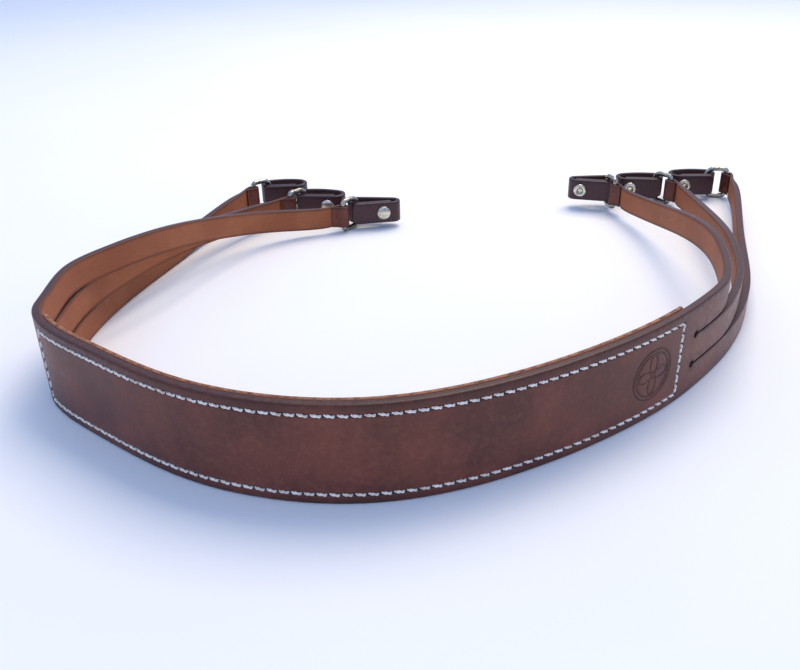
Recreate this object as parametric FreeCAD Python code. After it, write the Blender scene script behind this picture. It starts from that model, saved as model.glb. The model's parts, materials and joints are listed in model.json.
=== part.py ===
"""Leather martingale strap: a wide lined band bent into a horseshoe and standing on its edge.

Each end of the band is slit into three narrow tails. Each tail carries a metal dee,
and each dee a riveted leather loop. Millimetres, +Z up, +X along the width of the
horseshoe. The origin is under the middle of the whole piece, where it stands.
"""
import FreeCAD, Part
import math
import os

Vector = FreeCAD.Vector
UP = Vector(0, 0, 1)

# Band
BAND_HEIGHT = 38.1          # the strap is one and a half inches wide
BAND_THICK = 3.4
LINING_THICK = 2.0
GLUE_LINE = 0.02            # kept between the glued faces of the band and its lining
LINING_PAST_STITCHES = 4.0
SLIT = 0.75                 # gap between two tails
RELIEF_HOLE = 2.8           # round hole at the inner end of each slit
HOLE_PAST_STITCHES = 10.5
STUB_PAST_HOLE = 8.0        # from the hole to where a tail starts to bend

# Stitching
STITCH_PITCH = 4.23         # six to the inch
STITCH_LENGTH = 3.3
THREAD = 0.9
THREAD_FIT = 0.03
STITCH_MARGIN = 3.9         # from the strap's edge to the row of stitches
ROW_STITCHES = 66
GROOVE_DEPTH = 0.5
GROOVE_WIDTH = 1.3

# Dee
WIRE = 2.8
DEE_ROOM = 0.9              # between a tail's cut edge and the wire that passes over it
DEE_DEPTH = 13.0            # all dee sizes are between the middles of the wire
DEE_BAR_CORNER = 2.0
DEE_SHOULDER = 4.2
DEE_NOSE = 11.0

# Fits
HINGE_SEAT = 0.15           # between a tail's rounded root and its seat in the band
ROUND_INSET = 0.05          # how far a tail's rounded ends lie inside its strip's own faces
DEE_FIT = 0.3               # between the wire and the leather turned round it
TURN_THICK = 1.6            # leather thinned and turned back round the bar
TURN_LENGTH = 24.0

# Loop
LOOP_THICK = 2.4
LOOP_PLAY = 2.3             # between the dee's wire and the loop round it
LAYER_GAP = 0.05            # between the two layers that the rivet holds
RIVET_PLACE = 14.0          # from the dee's wire to the rivet
LAP_START = -3.8            # from the dee's wire to the cut end of the outer layer
LAP_END = 4.5               # from the rivet to the cut end of the inner layer

# Rivet
SHAFT = 3.2
HEAD = 8.0
HEAD_RISE = 1.7
CAP = 7.8
CAP_RISE = 1.6
SHAFT_HOLLOW = 1.9
RIVET_FIT = 0.03

SECTION_STEP = 7.0          # between the sections that a tail is drawn through
STRIP_STEP = 3.5            # between the points that the band's faces are drawn through

# Plan of the band's outer face, from its left end round the front to its right end
BAND_ROUTE = [(-167, 84), (-168, 67), (-136, 42), (-96, 9), (-38, -5), (13, 11), (58, 38),
              (80, 56), (94, 71)]

# Sizes that follow from the ones above
TAIL_HEIGHT = (BAND_HEIGHT - 2 * SLIT) / 3
DEE_HEIGHT = TAIL_HEIGHT + 2 * DEE_ROOM + WIRE
DEE_REST = (DEE_HEIGHT + WIRE) / 2      # the middle of a dee that stands on the floor
LOOP_EYE = WIRE / 2 + LOOP_PLAY         # inner radius round the dee's wire

# Each tail: its level in the band, the height of its end and where it falls to it, its dee's and
# loop's headings in degrees, the loop's length past its rivet, the radii of its free end and of
# its far wall, and the plan after its root
TAILS = {
    "left_upper": dict(
        level=2, rest=DEE_REST, fall=(0.30, 0.97), dee=50, loop=8, free=10.3, turn=3.5, bow=300,
        route=[(-170, 120), (-147, 146), (-126, 188), (-101, 238), (-68, 244), (-56, 248)]),
    "left_middle": dict(
        level=1, rest=DEE_REST, fall=(0.42, 0.97), dee=48, loop=-6, free=10.0, turn=5.2, bow=40,
        route=[(-167, 126), (-152, 162), (-132, 208), (-110, 250), (-97, 260), (-88, 266)]),
    "left_lower": dict(
        level=0, rest=DEE_REST, fall=(0.50, 0.97), dee=40, loop=3, free=8.5, turn=6.0, bow=32,
        route=[(-167, 124), (-159, 164), (-143, 212), (-131, 246), (-122, 271), (-113, 287)]),
    "right_upper": dict(
        level=2, rest=DEE_REST + 2.6, fall=(0.30, 1.0), dee=103, loop=163, free=7.5, turn=3.5, bow=300,
        route=[(108, 92), (117, 126), (119, 178), (113, 240), (108, 256), (105, 267)]),
    "right_middle": dict(
        level=1, rest=DEE_REST, fall=(0.42, 0.97), dee=128, loop=170, free=8.5, turn=5.2, bow=40,
        route=[(112, 94), (130, 130), (140, 186), (145, 244), (146, 264), (142, 280)]),
    "right_lower": dict(
        level=0, rest=DEE_REST, fall=(0.50, 0.97), dee=162, loop=176, free=8.5, turn=6.0, bow=32,
        route=[(117, 100), (138, 138), (153, 192), (170, 244), (179, 271), (180, 291)]),
}

PANEL = (ROW_STITCHES - 1) * STITCH_PITCH
DEE_EYE = WIRE / 2 + DEE_FIT


class Route:
    """A smooth plan curve (cubic B-spline through its poles' hull), measured along its length."""

    def __init__(self, poles, steps=1200):
        self.curve = Part.BSplineCurve()
        points = [Vector(x, y, 0) for x, y in poles]
        spans = len(points) - 3
        mults = [4] + [1] * (spans - 1) + [4]
        self.curve.buildFromPolesMultsKnots(points, mults, list(range(spans + 1)), False, 3)
        self.params = [spans * i / steps for i in range(steps + 1)]
        self.lengths = [0.0]
        last = self.curve.value(0)
        for u in self.params[1:]:
            here = self.curve.value(u)
            self.lengths.append(self.lengths[-1] + (here - last).Length)
            last = here
        self.length = self.lengths[-1]

    def frame(self, s):
        """Point, direction and left-hand side at the distance s along the curve."""
        s = min(max(s, 0.0), self.length)
        low, high = 0, len(self.lengths) - 1
        while high - low > 1:
            middle = (low + high) // 2
            if self.lengths[middle] <= s:
                low = middle
            else:
                high = middle
        part = (s - self.lengths[low]) / (self.lengths[high] - self.lengths[low])
        u = self.params[low] + part * (self.params[high] - self.params[low])
        direction = self.curve.tangent(u)[0]
        return self.curve.value(u), direction, UP.cross(direction)


def stations(start, end, step=SECTION_STEP):
    """Evenly spaced distances from start to end, both included."""
    count = max(4, math.ceil((end - start) / step))
    return [start + (end - start) * i / count for i in range(count + 1)]


def shared_stations(start, end, step=STRIP_STEP):
    """The two ends and the multiples of a step between them, so that all strips share their points."""
    inside = [i * step for i in range(math.ceil(start / step), math.floor(end / step) + 1)]
    return [start] + [s for s in inside if start + step / 3 < s < end - step / 3] + [end]


def smooth(x):
    """Rises gently from 0 to 1 as x goes from 0 to 1."""
    x = min(max(x, 0.0), 1.0)
    return x * x * (3 - 2 * x)


def offset_edge(route, start, end, side, z):
    """The route's curve between two distances, moved sideways and up."""
    curve = Part.BSplineCurve()
    points = []
    for s in shared_stations(start, end):
        point, _, left = route.frame(s)
        points.append(point + left * side + UP * z)
    curve.interpolate(Points=points)
    return curve.toShape()


def strip(route, start, end, side_a, side_b, low, high):
    """A vertical strip along a route, between two offsets and two heights."""
    one = offset_edge(route, start, end, side_a, low)
    two = offset_edge(route, start, end, side_b, low)
    ends = [Part.makeLine(e.valueAt(e.FirstParameter), f.valueAt(f.FirstParameter))
            for e, f in ((one, two),)]
    ends += [Part.makeLine(one.valueAt(one.LastParameter), two.valueAt(two.LastParameter))]
    outline = Part.Wire([one, ends[1], two, ends[0]])
    return Part.Face(outline).extrude(UP * (high - low))


def pin(centre, axis, radius, reach):
    """A round bar of twice the reach, centred on a point."""
    return Part.makeCylinder(radius, 2 * reach, centre - axis * reach, axis)


def revolved(profile, centre, axis, outward):
    """Turns a profile of (radius, height) points round an axis. Height runs along the axis."""
    points = [centre + outward * r + axis * h for r, h in profile]
    return Part.Face(Part.makePolygon(points + points[:1])).revolve(centre, axis, 360)


def one_solid(shape):
    """The single closed solid of a shape, with its seams between like faces removed."""
    clean = shape.removeSplitter()
    if len(clean.Solids) != 1:
        raise ValueError(f"expected one solid, found {len(clean.Solids)}")
    return clean.Solids[0]


# Places along the band, from its left end
BAND = Route(BAND_ROUTE)
SPARE = (BAND.length - PANEL) / 2 - HOLE_PAST_STITCHES - STUB_PAST_HOLE
FIRST_STITCH = SPARE + STUB_PAST_HOLE + HOLE_PAST_STITCHES
LAST_STITCH = FIRST_STITCH + PANEL
BAND_START, BAND_END = SPARE, BAND.length - SPARE
ROWS = (STITCH_MARGIN, BAND_HEIGHT - STITCH_MARGIN)
INNER_FACE = BAND_THICK + GLUE_LINE + LINING_THICK


def band_end(side):
    """Where the tails of one side hinge: the axis in plan, and the direction they leave in."""
    point, direction, left = BAND.frame(BAND_START if side == "left" else BAND_END)
    outward = direction * (-1 if side == "left" else 1)
    return point + left * (BAND_THICK / 2), outward


def slit_heights():
    return [TAIL_HEIGHT + SLIT / 2, 2 * TAIL_HEIGHT + 1.5 * SLIT]


def groove(side_a, side_b):
    """The sunk frame that the stitches of one face lie in, as a cutting solid."""
    half = GROOVE_WIDTH / 2
    frame = strip(BAND, FIRST_STITCH - half, LAST_STITCH + half, side_a, side_b,
                  ROWS[0] - half, ROWS[1] + half)
    island = strip(BAND, FIRST_STITCH + half, LAST_STITCH - half, side_a - 1, side_b + 1,
                   ROWS[0] + half, ROWS[1] - half)
    return frame.cut(island)


def wide_band():
    """The outer leather, with a slit and its relief hole between the roots of the tails."""
    band = strip(BAND, BAND_START, BAND_END, 0, BAND_THICK, 0, BAND_HEIGHT)
    cuts = [groove(-1, GROOVE_DEPTH)]
    for side, s, edge in (("left", FIRST_STITCH - HOLE_PAST_STITCHES, BAND_START - 1),
                          ("right", LAST_STITCH + HOLE_PAST_STITCHES, BAND_END + 1)):
        point, _, left = BAND.frame(s)
        axis, outward = band_end(side)
        for z in slit_heights():
            cuts.append(pin(point + left * (BAND_THICK / 2) + UP * z, left, RELIEF_HOLE / 2, BAND_THICK))
            cuts.append(strip(BAND, min(s, edge), max(s, edge), -1, BAND_THICK + 1,
                              z - SLIT / 2, z + SLIT / 2))
        cuts.append(pin(axis + UP * BAND_HEIGHT / 2, UP, BAND_THICK / 2 + HINGE_SEAT, BAND_HEIGHT))
    return one_solid(band.cut(cuts))


def band_lining():
    """The thinner leather on the inner face, glued and sewn to the band."""
    lining = strip(BAND, FIRST_STITCH - LINING_PAST_STITCHES, LAST_STITCH + LINING_PAST_STITCHES,
                   BAND_THICK + GLUE_LINE, INNER_FACE, 0, BAND_HEIGHT)
    return one_solid(lining.cut(groove(INNER_FACE - GROOVE_DEPTH, INNER_FACE + 1)))


def stitching(side):
    """One face's stitches: two long rows and a short row up each end, as separate threads."""
    reach = STITCH_LENGTH / 2
    threads = []
    for i in range(ROW_STITCHES - 1):
        point, direction, left = BAND.frame(FIRST_STITCH + (i + 0.5) * STITCH_PITCH)
        for z in ROWS:
            threads.append(pin(point + left * side + UP * z, direction, THREAD / 2, reach))
    rise = ROWS[1] - ROWS[0]
    count = round(rise / STITCH_PITCH)
    for s in (FIRST_STITCH, LAST_STITCH):
        point, _, left = BAND.frame(s)
        for i in range(count):
            z = ROWS[0] + (i + 0.5) * rise / count
            threads.append(pin(point + left * side + UP * z, UP, THREAD / 2, reach))
    return Part.makeCompound(threads)


def tail_route(name):
    """A tail's middle line in plan, from its hinge to the bar of its dee."""
    axis, outward = band_end(name.split("_")[0])
    lead = axis + outward * 16
    return Route([(axis.x, axis.y), (lead.x, lead.y)] + TAILS[name]["route"])


def tail_centre_height(name, part):
    """Height of a tail's middle line at a share of its length."""
    tail = TAILS[name]
    root = (tail["level"] + 0.5) * TAIL_HEIGHT + tail["level"] * SLIT
    start, end = tail["fall"]
    return root + (tail["rest"] - root) * smooth((part - start) / (end - start))


def tail_shape(name):
    """A narrow strap: a rounded root, a gentle fall, and its end turned round the dee's bar."""
    route = tail_route(name)
    half_root = BAND_THICK / 2
    half_end = DEE_EYE + TURN_THICK * 0.75
    sections = []
    for s in stations(0, route.length, SECTION_STEP * 1.3):
        point, _, left = route.frame(s)
        half = half_root + (half_end - half_root) * smooth((s - route.length + TURN_LENGTH) / TURN_LENGTH)
        z = tail_centre_height(name, s / route.length)
        corners = [point + left * a * half + UP * (z + b * TAIL_HEIGHT / 2)
                   for a, b in ((-1, -1), (1, -1), (1, 1), (-1, 1))]
        sections.append(Part.makePolygon(corners + corners[:1]))
    body = Part.makeLoft(sections, True, False)
    reach = TAIL_HEIGHT / 2 - ROUND_INSET
    start = route.frame(0)[0] + UP * tail_centre_height(name, 0)
    root = pin(start, UP, half_root - ROUND_INSET, reach)
    bar = bar_place(name)
    eye = pin(bar, UP, DEE_EYE + TURN_THICK, reach)
    return one_solid(body.fuse([root, eye]).cut(pin(bar, UP, DEE_EYE, TAIL_HEIGHT)))


def placed(shape, point, heading):
    """A shape drawn about the origin with its nose along +X, turned and moved to a point."""
    copy = shape.copy()
    copy.rotate(Vector(0, 0, 0), UP, heading)
    copy.translate(point)
    return copy


def bar_place(name):
    """Middle of the bar of a tail's dee."""
    route = tail_route(name)
    return route.frame(route.length)[0] + UP * tail_centre_height(name, 1)


def nose_place(name):
    """Middle of the wire at the nose of a tail's dee."""
    heading = math.radians(TAILS[name]["dee"])
    return bar_place(name) + Vector(math.cos(heading), math.sin(heading), 0) * DEE_DEPTH


def dee_shape():
    """A round wire bent to a D: a straight bar, two short legs, round shoulders and a wide nose."""
    half = DEE_HEIGHT / 2
    nose_x = DEE_DEPTH - DEE_NOSE
    reach = DEE_NOSE - DEE_SHOULDER
    drop = half - DEE_SHOULDER
    shoulder_x = nose_x + math.sqrt(reach ** 2 - drop ** 2)
    join = Vector(shoulder_x - nose_x, 0, drop).normalize() * DEE_NOSE + Vector(nose_x, 0, 0)
    lean = math.atan2(drop, shoulder_x - nose_x) / 2 + math.pi / 4
    crown = Vector(shoulder_x + DEE_SHOULDER * math.cos(lean), 0, drop + DEE_SHOULDER * math.sin(lean))
    inset = DEE_BAR_CORNER * (1 - math.sqrt(0.5))

    def flip(v):
        return Vector(v.x, 0, -v.z)

    foot = Vector(0, 0, half - DEE_BAR_CORNER)
    corner = Vector(inset, 0, half - inset)
    leg = Vector(DEE_BAR_CORNER, 0, half)
    shoulder = Vector(shoulder_x, 0, half)
    path = Part.Wire([
        Part.LineSegment(flip(foot), foot).toShape(),
        Part.Arc(foot, corner, leg).toShape(),
        Part.LineSegment(leg, shoulder).toShape(),
        Part.Arc(shoulder, crown, join).toShape(),
        Part.Arc(join, Vector(DEE_DEPTH, 0, 0), flip(join)).toShape(),
        Part.Arc(flip(join), flip(crown), flip(shoulder)).toShape(),
        Part.LineSegment(flip(shoulder), flip(leg)).toShape(),
        Part.Arc(flip(leg), flip(corner), flip(foot)).toShape(),
    ])
    ring = Part.Wire(Part.makeCircle(WIRE / 2, flip(foot), UP))
    return one_solid(path.makePipeShell([ring], True, False))


def loop_shape(free, turn, bow, side):
    """One strip wrapped into a loop round the dee's nose, lapped over itself along its riveted wall.

    The riveted wall is straight. The free end turns with the radius turn, and the far wall bows
    with the radius bow. All radii are the middle line's, and side is the riveted wall's side.
    """
    half, eye = LOOP_THICK / 2, LOOP_EYE + LOOP_THICK / 2
    lap = eye + LOOP_THICK + LAYER_GAP
    end = Vector(RIVET_PLACE + free - half - turn, turn - lap, 0)
    reach, bearing = end.Length, math.atan2(end.y, end.x)
    one, two = bow - eye, bow - turn
    lean = math.acos((one ** 2 + reach ** 2 - two ** 2) / (2 * one * reach))
    centre = Vector(math.cos(bearing - lean), math.sin(bearing - lean), 0) * one
    past_end = (end - centre).normalize()
    past_eye = (centre * -1).normalize()
    inner_end = min(RIVET_PLACE + LAP_END, end.x + 0.3)

    def bend(middle, radius, start, finish):
        """The shorter arc about a middle from one direction to another."""
        through = (start + finish).normalize()
        return Part.Arc(middle + start * radius, middle + through * radius, middle + finish * radius)

    def lane(out):
        """The strip's edges from its outer cut end to its inner one, this far outside its middle."""
        down, right, back = Vector(0, -1, 0), Vector(1, 0, 0), Vector(-1, 0, 0)
        last = -eye - out
        return [Part.LineSegment(Vector(LAP_START, -lap - out, 0), Vector(end.x, -lap - out, 0)),
                bend(end, turn + out, down, right), bend(end, turn + out, right, past_end),
                bend(centre, bow + out, past_end, past_eye),
                bend(Vector(), eye + out, past_eye, back), bend(Vector(), eye + out, back, down),
                Part.LineSegment(Vector(0, last, 0), Vector(inner_end, last, 0))]

    edges = [piece.toShape() for piece in lane(half) + lane(-half)]
    edges.append(Part.makeLine(Vector(LAP_START, -lap - half, 0), Vector(LAP_START, -lap + half, 0)))
    edges.append(Part.makeLine(Vector(inner_end, -eye - half, 0), Vector(inner_end, -eye + half, 0)))
    outline = Part.Wire(Part.__sortEdges__(edges))
    loop = Part.Face(outline).extrude(UP * TAIL_HEIGHT)
    loop.translate(UP * (-TAIL_HEIGHT / 2))
    loop = one_solid(loop.cut(pin(Vector(RIVET_PLACE, -rivet_wall(), 0), Vector(0, 1, 0),
                                  SHAFT / 2 + RIVET_FIT, LOOP_THICK * 1.5)))
    return loop if side < 0 else loop.mirror(Vector(0, 0, 0), Vector(0, 1, 0))


def rivet_wall():
    """From the dee's wire to the middle of the two riveted layers."""
    return LOOP_EYE + LOOP_THICK + LAYER_GAP / 2


def rivet_post(side):
    """A domed head on a tubular shaft, which comes through the two layers into the cap."""
    seat = LOOP_THICK + LAYER_GAP / 2 + RIVET_FIT
    tip = seat + CAP_RISE * 0.7
    head = HEAD / 2
    dome = [(head * math.cos(a), -seat - 0.35 - (HEAD_RISE - 0.35) * math.sin(a))
            for a in (math.radians(10 * i) for i in range(10))]
    profile = [(0, dome[-1][1])] + dome[-2::-1] + [(head, -seat), (SHAFT / 2, -seat), (SHAFT / 2, tip),
               (SHAFT_HOLLOW / 2, tip), (SHAFT_HOLLOW / 2, 0), (0, 0)]
    centre = Vector(RIVET_PLACE, side * rivet_wall(), 0)
    return revolved(profile, centre, Vector(0, 1, 0), Vector(1, 0, 0)).Solids[0]


def rivet_cap(side):
    """The ring that the shaft is rolled over: round in section, with an open middle."""
    seat = LOOP_THICK + LAYER_GAP / 2 + RIVET_FIT
    inner, outer = SHAFT / 2 + RIVET_FIT, CAP / 2
    middle, width = (inner + outer) / 2, (outer - inner) / 2
    crown = [(middle + width * math.cos(a), seat + 0.4 + (CAP_RISE - 0.4) * math.sin(a))
             for a in (math.radians(15 * i) for i in range(13))]
    profile = [(outer, seat)] + crown + [(inner, seat)]
    centre = Vector(RIVET_PLACE, side * rivet_wall(), 0)
    return revolved(profile, centre, Vector(0, 1, 0), Vector(1, 0, 0)).Solids[0]


def model():
    """Every sub-part by name, in the drawing's own place."""
    parts = {
        "wide_band": wide_band(),
        "band_lining": band_lining(),
        "band_stitching_front": stitching(GROOVE_DEPTH - THREAD / 2 - THREAD_FIT),
        "band_stitching_back": stitching(INNER_FACE - GROOVE_DEPTH + THREAD / 2 + THREAD_FIT),
    }
    for name, tail in TAILS.items():
        parts[f"{name}_tail"] = tail_shape(name)
        parts[f"{name}_dee"] = placed(dee_shape(), bar_place(name), tail["dee"])
        nose, heading = nose_place(name), tail["loop"]
        side = -1 if name.startswith("left") else 1
        loop = loop_shape(tail["free"], tail["turn"], tail["bow"], side)
        parts[f"{name}_loop"] = placed(loop, nose, heading)
        parts[f"{name}_rivet_post"] = placed(rivet_post(side), nose, heading)
        parts[f"{name}_rivet_cap"] = placed(rivet_cap(side), nose, heading)
    return parts


def centring(parts):
    """The move that puts the origin under the middle of the whole piece."""
    box = Part.makeCompound(list(parts.values())).optimalBoundingBox()
    return Vector(-(box.XMin + box.XMax) / 2, -(box.YMin + box.YMax) / 2, -box.ZMin)


def main():
    parts = model()
    move = centring(parts)
    os.makedirs("parts", exist_ok=True)
    for name, shape in parts.items():
        shape.translate(move)
        shape.exportStep(f"parts/{name}.step")
    print(len(parts), "parts; tails", [round(tail_route(n).length, 1) for n in TAILS])
    return move


if __name__ == "__main__":
    main()
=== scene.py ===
# %% [markdown]
# # A leather breast strap
# The strap is a wide band of bridle leather with a thinner lining sewn inside it. Each end of the band
# is slit into three narrow tails. Each tail is turned back round a metal dee, and each dee carries a
# leather loop that is closed by a rivet. The strap stands on its edge, bent into a horseshoe.
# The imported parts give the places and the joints. This file makes the finished surfaces round them.

# %% Load the frame
import json
import math

import bmesh
import bpy
import numpy as np
from mathutils import Matrix, Vector


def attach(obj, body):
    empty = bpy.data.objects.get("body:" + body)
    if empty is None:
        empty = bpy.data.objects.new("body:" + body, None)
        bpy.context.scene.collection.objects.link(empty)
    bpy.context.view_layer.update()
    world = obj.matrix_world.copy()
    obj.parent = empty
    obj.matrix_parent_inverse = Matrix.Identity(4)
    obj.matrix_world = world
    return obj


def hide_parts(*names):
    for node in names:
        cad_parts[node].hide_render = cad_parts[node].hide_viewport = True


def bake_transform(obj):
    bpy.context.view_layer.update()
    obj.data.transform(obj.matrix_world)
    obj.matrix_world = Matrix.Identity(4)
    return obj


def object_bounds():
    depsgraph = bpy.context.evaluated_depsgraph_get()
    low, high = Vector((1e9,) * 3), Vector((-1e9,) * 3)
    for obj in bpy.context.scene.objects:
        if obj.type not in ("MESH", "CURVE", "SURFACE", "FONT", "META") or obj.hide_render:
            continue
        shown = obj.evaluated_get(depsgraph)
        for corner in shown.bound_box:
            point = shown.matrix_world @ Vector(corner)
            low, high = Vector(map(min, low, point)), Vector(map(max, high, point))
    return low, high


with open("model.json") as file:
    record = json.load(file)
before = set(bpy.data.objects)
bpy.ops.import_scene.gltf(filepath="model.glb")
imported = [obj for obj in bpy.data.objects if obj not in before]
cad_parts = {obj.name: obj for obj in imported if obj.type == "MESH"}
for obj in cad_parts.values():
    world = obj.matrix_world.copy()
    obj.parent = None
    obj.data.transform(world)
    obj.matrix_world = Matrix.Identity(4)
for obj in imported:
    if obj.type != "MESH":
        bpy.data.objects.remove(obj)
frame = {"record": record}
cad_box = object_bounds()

# %% [markdown]
# ## Sizes
# Leather is described by a few sizes that a saddler would know: strap width, thickness, the pitch of
# the stitching and its distance from the edge. They are the design's own sizes, in millimetres.

# %% Sizes
MM = 0.001
BAND_HEIGHT = 38.1
BAND_THICK = 3.4
LINING_THICK = 2.0
LINING_GAP = 0.02
LINING_PAST_STITCHES = 4.0
SLIT = 0.75
RELIEF_HOLE = 2.8
HOLE_PAST_STITCHES = 10.5
STUB_PAST_HOLE = 8.0
STITCH_PITCH = 4.23
STITCH_LENGTH = 3.9
STITCH_MARGIN = 3.9
ROW_STITCHES = 66
THREAD = 1.05
EDGE_ROUND = 0.9
SLIT_ROUND = 0.35
WIRE = 2.8
LOOP_THICK = 2.4
LOOP_EYE = 3.7
LAYER_GAP = 0.05
RIVET_PLACE = 14.0
LAP_START = -3.8
LAP_END = 4.5
TAIL_HEIGHT = (BAND_HEIGHT - 2 * SLIT) / 3
PANEL = (ROW_STITCHES - 1) * STITCH_PITCH
ROWS = (STITCH_MARGIN, BAND_HEIGHT - STITCH_MARGIN)

BAND_ROUTE = [(-167, 84), (-168, 67), (-136, 42), (-96, 9), (-38, -5), (13, 11), (58, 38),
              (80, 56), (94, 71)]
TAILS = {
    "left_upper": dict(
        level=2, fall=(0.30, 0.97), loop=8, free=10.3, turn=3.5, bow=300,
        route=[(-170, 120), (-147, 146), (-126, 188), (-101, 238), (-68, 244), (-56, 248)]),
    "left_middle": dict(
        level=1, fall=(0.42, 0.97), loop=-6, free=10.0, turn=5.2, bow=40,
        route=[(-167, 126), (-152, 162), (-132, 208), (-110, 250), (-97, 260), (-88, 266)]),
    "left_lower": dict(
        level=0, fall=(0.50, 0.97), loop=3, free=8.5, turn=6.0, bow=32,
        route=[(-167, 124), (-159, 164), (-143, 212), (-131, 246), (-122, 271), (-113, 287)]),
    "right_upper": dict(
        level=2, fall=(0.30, 1.0), loop=163, free=7.5, turn=3.5, bow=300,
        route=[(108, 92), (117, 126), (119, 178), (113, 240), (108, 256), (105, 267)]),
    "right_middle": dict(
        level=1, fall=(0.42, 0.97), loop=170, free=8.5, turn=5.2, bow=40,
        route=[(112, 94), (130, 130), (140, 186), (145, 244), (146, 264), (142, 280)]),
    "right_lower": dict(
        level=0, fall=(0.50, 0.97), loop=176, free=8.5, turn=6.0, bow=32,
        route=[(117, 100), (138, 138), (153, 192), (170, 244), (179, 271), (180, 291)]),
}
joints = {j["name"]: j for j in frame["record"]["behaviour"]["joints"]}


def joint_place(name):
    """A joint's place in millimetres."""
    return np.array(joints[name]["pos_m"]) / MM


print("tails:", ", ".join(TAILS))

# %% [markdown]
# ## Routes
# A strap is easiest to draw flat and then bend. Every leather piece here is made as a flat strip, with
# one number along it, one through its thickness and one across its width. A route is a smooth plan
# curve, and laying the strip along it gives the bent piece. The curve is a cubic B-spline.

# %% A route
def spline_points(poles, count):
    """Points along the clamped cubic B-spline of some poles."""
    poles = np.array(poles, dtype=float)
    spans = len(poles) - 3
    knots = np.concatenate([[0] * 3, np.arange(spans + 1), [spans] * 3]).astype(float)
    u = np.linspace(0, spans, count)[:, None]
    basis = ((knots[:-1] <= u) & (u < knots[1:])).astype(float)
    basis[-1, len(poles) - 1] = 1
    for degree in (1, 2, 3):
        n = basis.shape[1] - 1
        rise = knots[degree:degree + n] - knots[:n]
        drop = knots[degree + 1:degree + 1 + n] - knots[1:n + 1]
        up = np.divide(u - knots[:n], rise, out=np.zeros((count, n)), where=rise > 0)
        down = np.divide(knots[degree + 1:degree + 1 + n] - u, drop, out=np.zeros((count, n)),
                         where=drop > 0)
        basis = up * basis[:, :n] + down * basis[:, 1:n + 1]
    return basis @ poles


class Route:
    """A plan curve measured along its length. It runs on straight past its two ends."""

    def __init__(self, poles, count=4000):
        self.points = spline_points(poles, count)
        steps = np.diff(self.points, axis=0)
        lengths = np.hypot(*steps.T)
        self.s = np.concatenate([[0], np.cumsum(lengths)])
        self.length = self.s[-1]
        self.middles = (self.s[1:] + self.s[:-1]) / 2
        self.directions = steps / lengths[:, None]

    def frame(self, s):
        """Points, directions and left-hand sides at distances along the curve."""
        s = np.atleast_1d(np.asarray(s, dtype=float))
        inside = np.clip(s, 0, self.length)
        point = np.stack([np.interp(inside, self.s, self.points[:, i]) for i in (0, 1)], axis=1)
        way = np.stack([np.interp(inside, self.middles, self.directions[:, i]) for i in (0, 1)], axis=1)
        way /= np.linalg.norm(way, axis=1)[:, None]
        point = point + way * (s - inside)[:, None]
        return point, way, np.stack([-way[:, 1], way[:, 0]], axis=1)


def smooth(x):
    """Rises gently from 0 to 1 as x goes from 0 to 1."""
    x = np.clip(x, 0, 1)
    return x * x * (3 - 2 * x)


BAND = Route(BAND_ROUTE)
SPARE = (BAND.length - PANEL) / 2 - HOLE_PAST_STITCHES - STUB_PAST_HOLE
FIRST_STITCH = SPARE + STUB_PAST_HOLE + HOLE_PAST_STITCHES
LAST_STITCH = FIRST_STITCH + PANEL
BAND_START, BAND_END = SPARE, BAND.length - SPARE


def band_end(side):
    """Where one side's tails hinge in plan, and the direction they leave in, as drawn."""
    point, way, left = BAND.frame(BAND_START if side == "left" else BAND_END)
    return point[0] + left[0] * BAND_THICK / 2, way[0] * (-1 if side == "left" else 1)


SHIFT = joint_place("left_upper_tail_flex")[:2] - band_end("left")[0]
print("band along its route: %.1f mm" % BAND.length, "shift:", SHIFT.round(2))


# %% [markdown]
# ## Strips
# A cut strap is a rounded rectangle in section: two faces, and two edges that the saddler has bevelled
# and burnished. Sweeping that section along the strip gives clean quads that bend well. Each point also
# keeps three numbers for the materials: which side of the hide it is on, how near a cut edge it is, and
# how deep it lies in a tooled line, which sets how much painted shade the tooled lines get.

# %% A strip's section
def strip_section(face_lines, edge_lines=3, corner_lines=4):
    """One ring round a strip, as factors of its flat part and of its corner's radius."""
    lines = np.asarray(face_lines, dtype=float)
    turn = np.linspace(0, math.pi / 2, corner_lines + 2)[1:-1]
    across = np.linspace(-1, 1, edge_lines + 2)
    ring = [(-1, -1, z, 0) for z in lines]
    ring += [(-1, -math.cos(a), 1, math.sin(a)) for a in turn]
    ring += [(d, 0, 1, 1) for d in across]
    ring += [(1, math.sin(a), 1, math.cos(a)) for a in turn]
    ring += [(1, 1, z, 0) for z in lines[::-1]]
    ring += [(1, math.cos(a), -1, -math.sin(a)) for a in turn]
    ring += [(d, 0, -1, -1) for d in across[::-1]]
    ring += [(-1, -math.sin(a), -1, -math.cos(a)) for a in turn]
    return np.array(ring).T


def tube_faces(stations, around):
    """Quads between rings, and one cap at each end."""
    faces = []
    for i in range(stations - 1):
        for j in range(around):
            k = (j + 1) % around
            faces.append((i * around + j, i * around + k, (i + 1) * around + k, (i + 1) * around + j))
    faces.append(tuple(range(around)))
    faces.append(tuple((stations - 1) * around + j for j in range(around))[::-1])
    return faces


def ring_faces(stations, around):
    """Quads of a tube that closes on itself."""
    return [(i * around + j, i * around + (j + 1) % around,
             (i + 1) % stations * around + (j + 1) % around, (i + 1) % stations * around + j)
            for i in range(stations) for j in range(around)]


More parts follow.
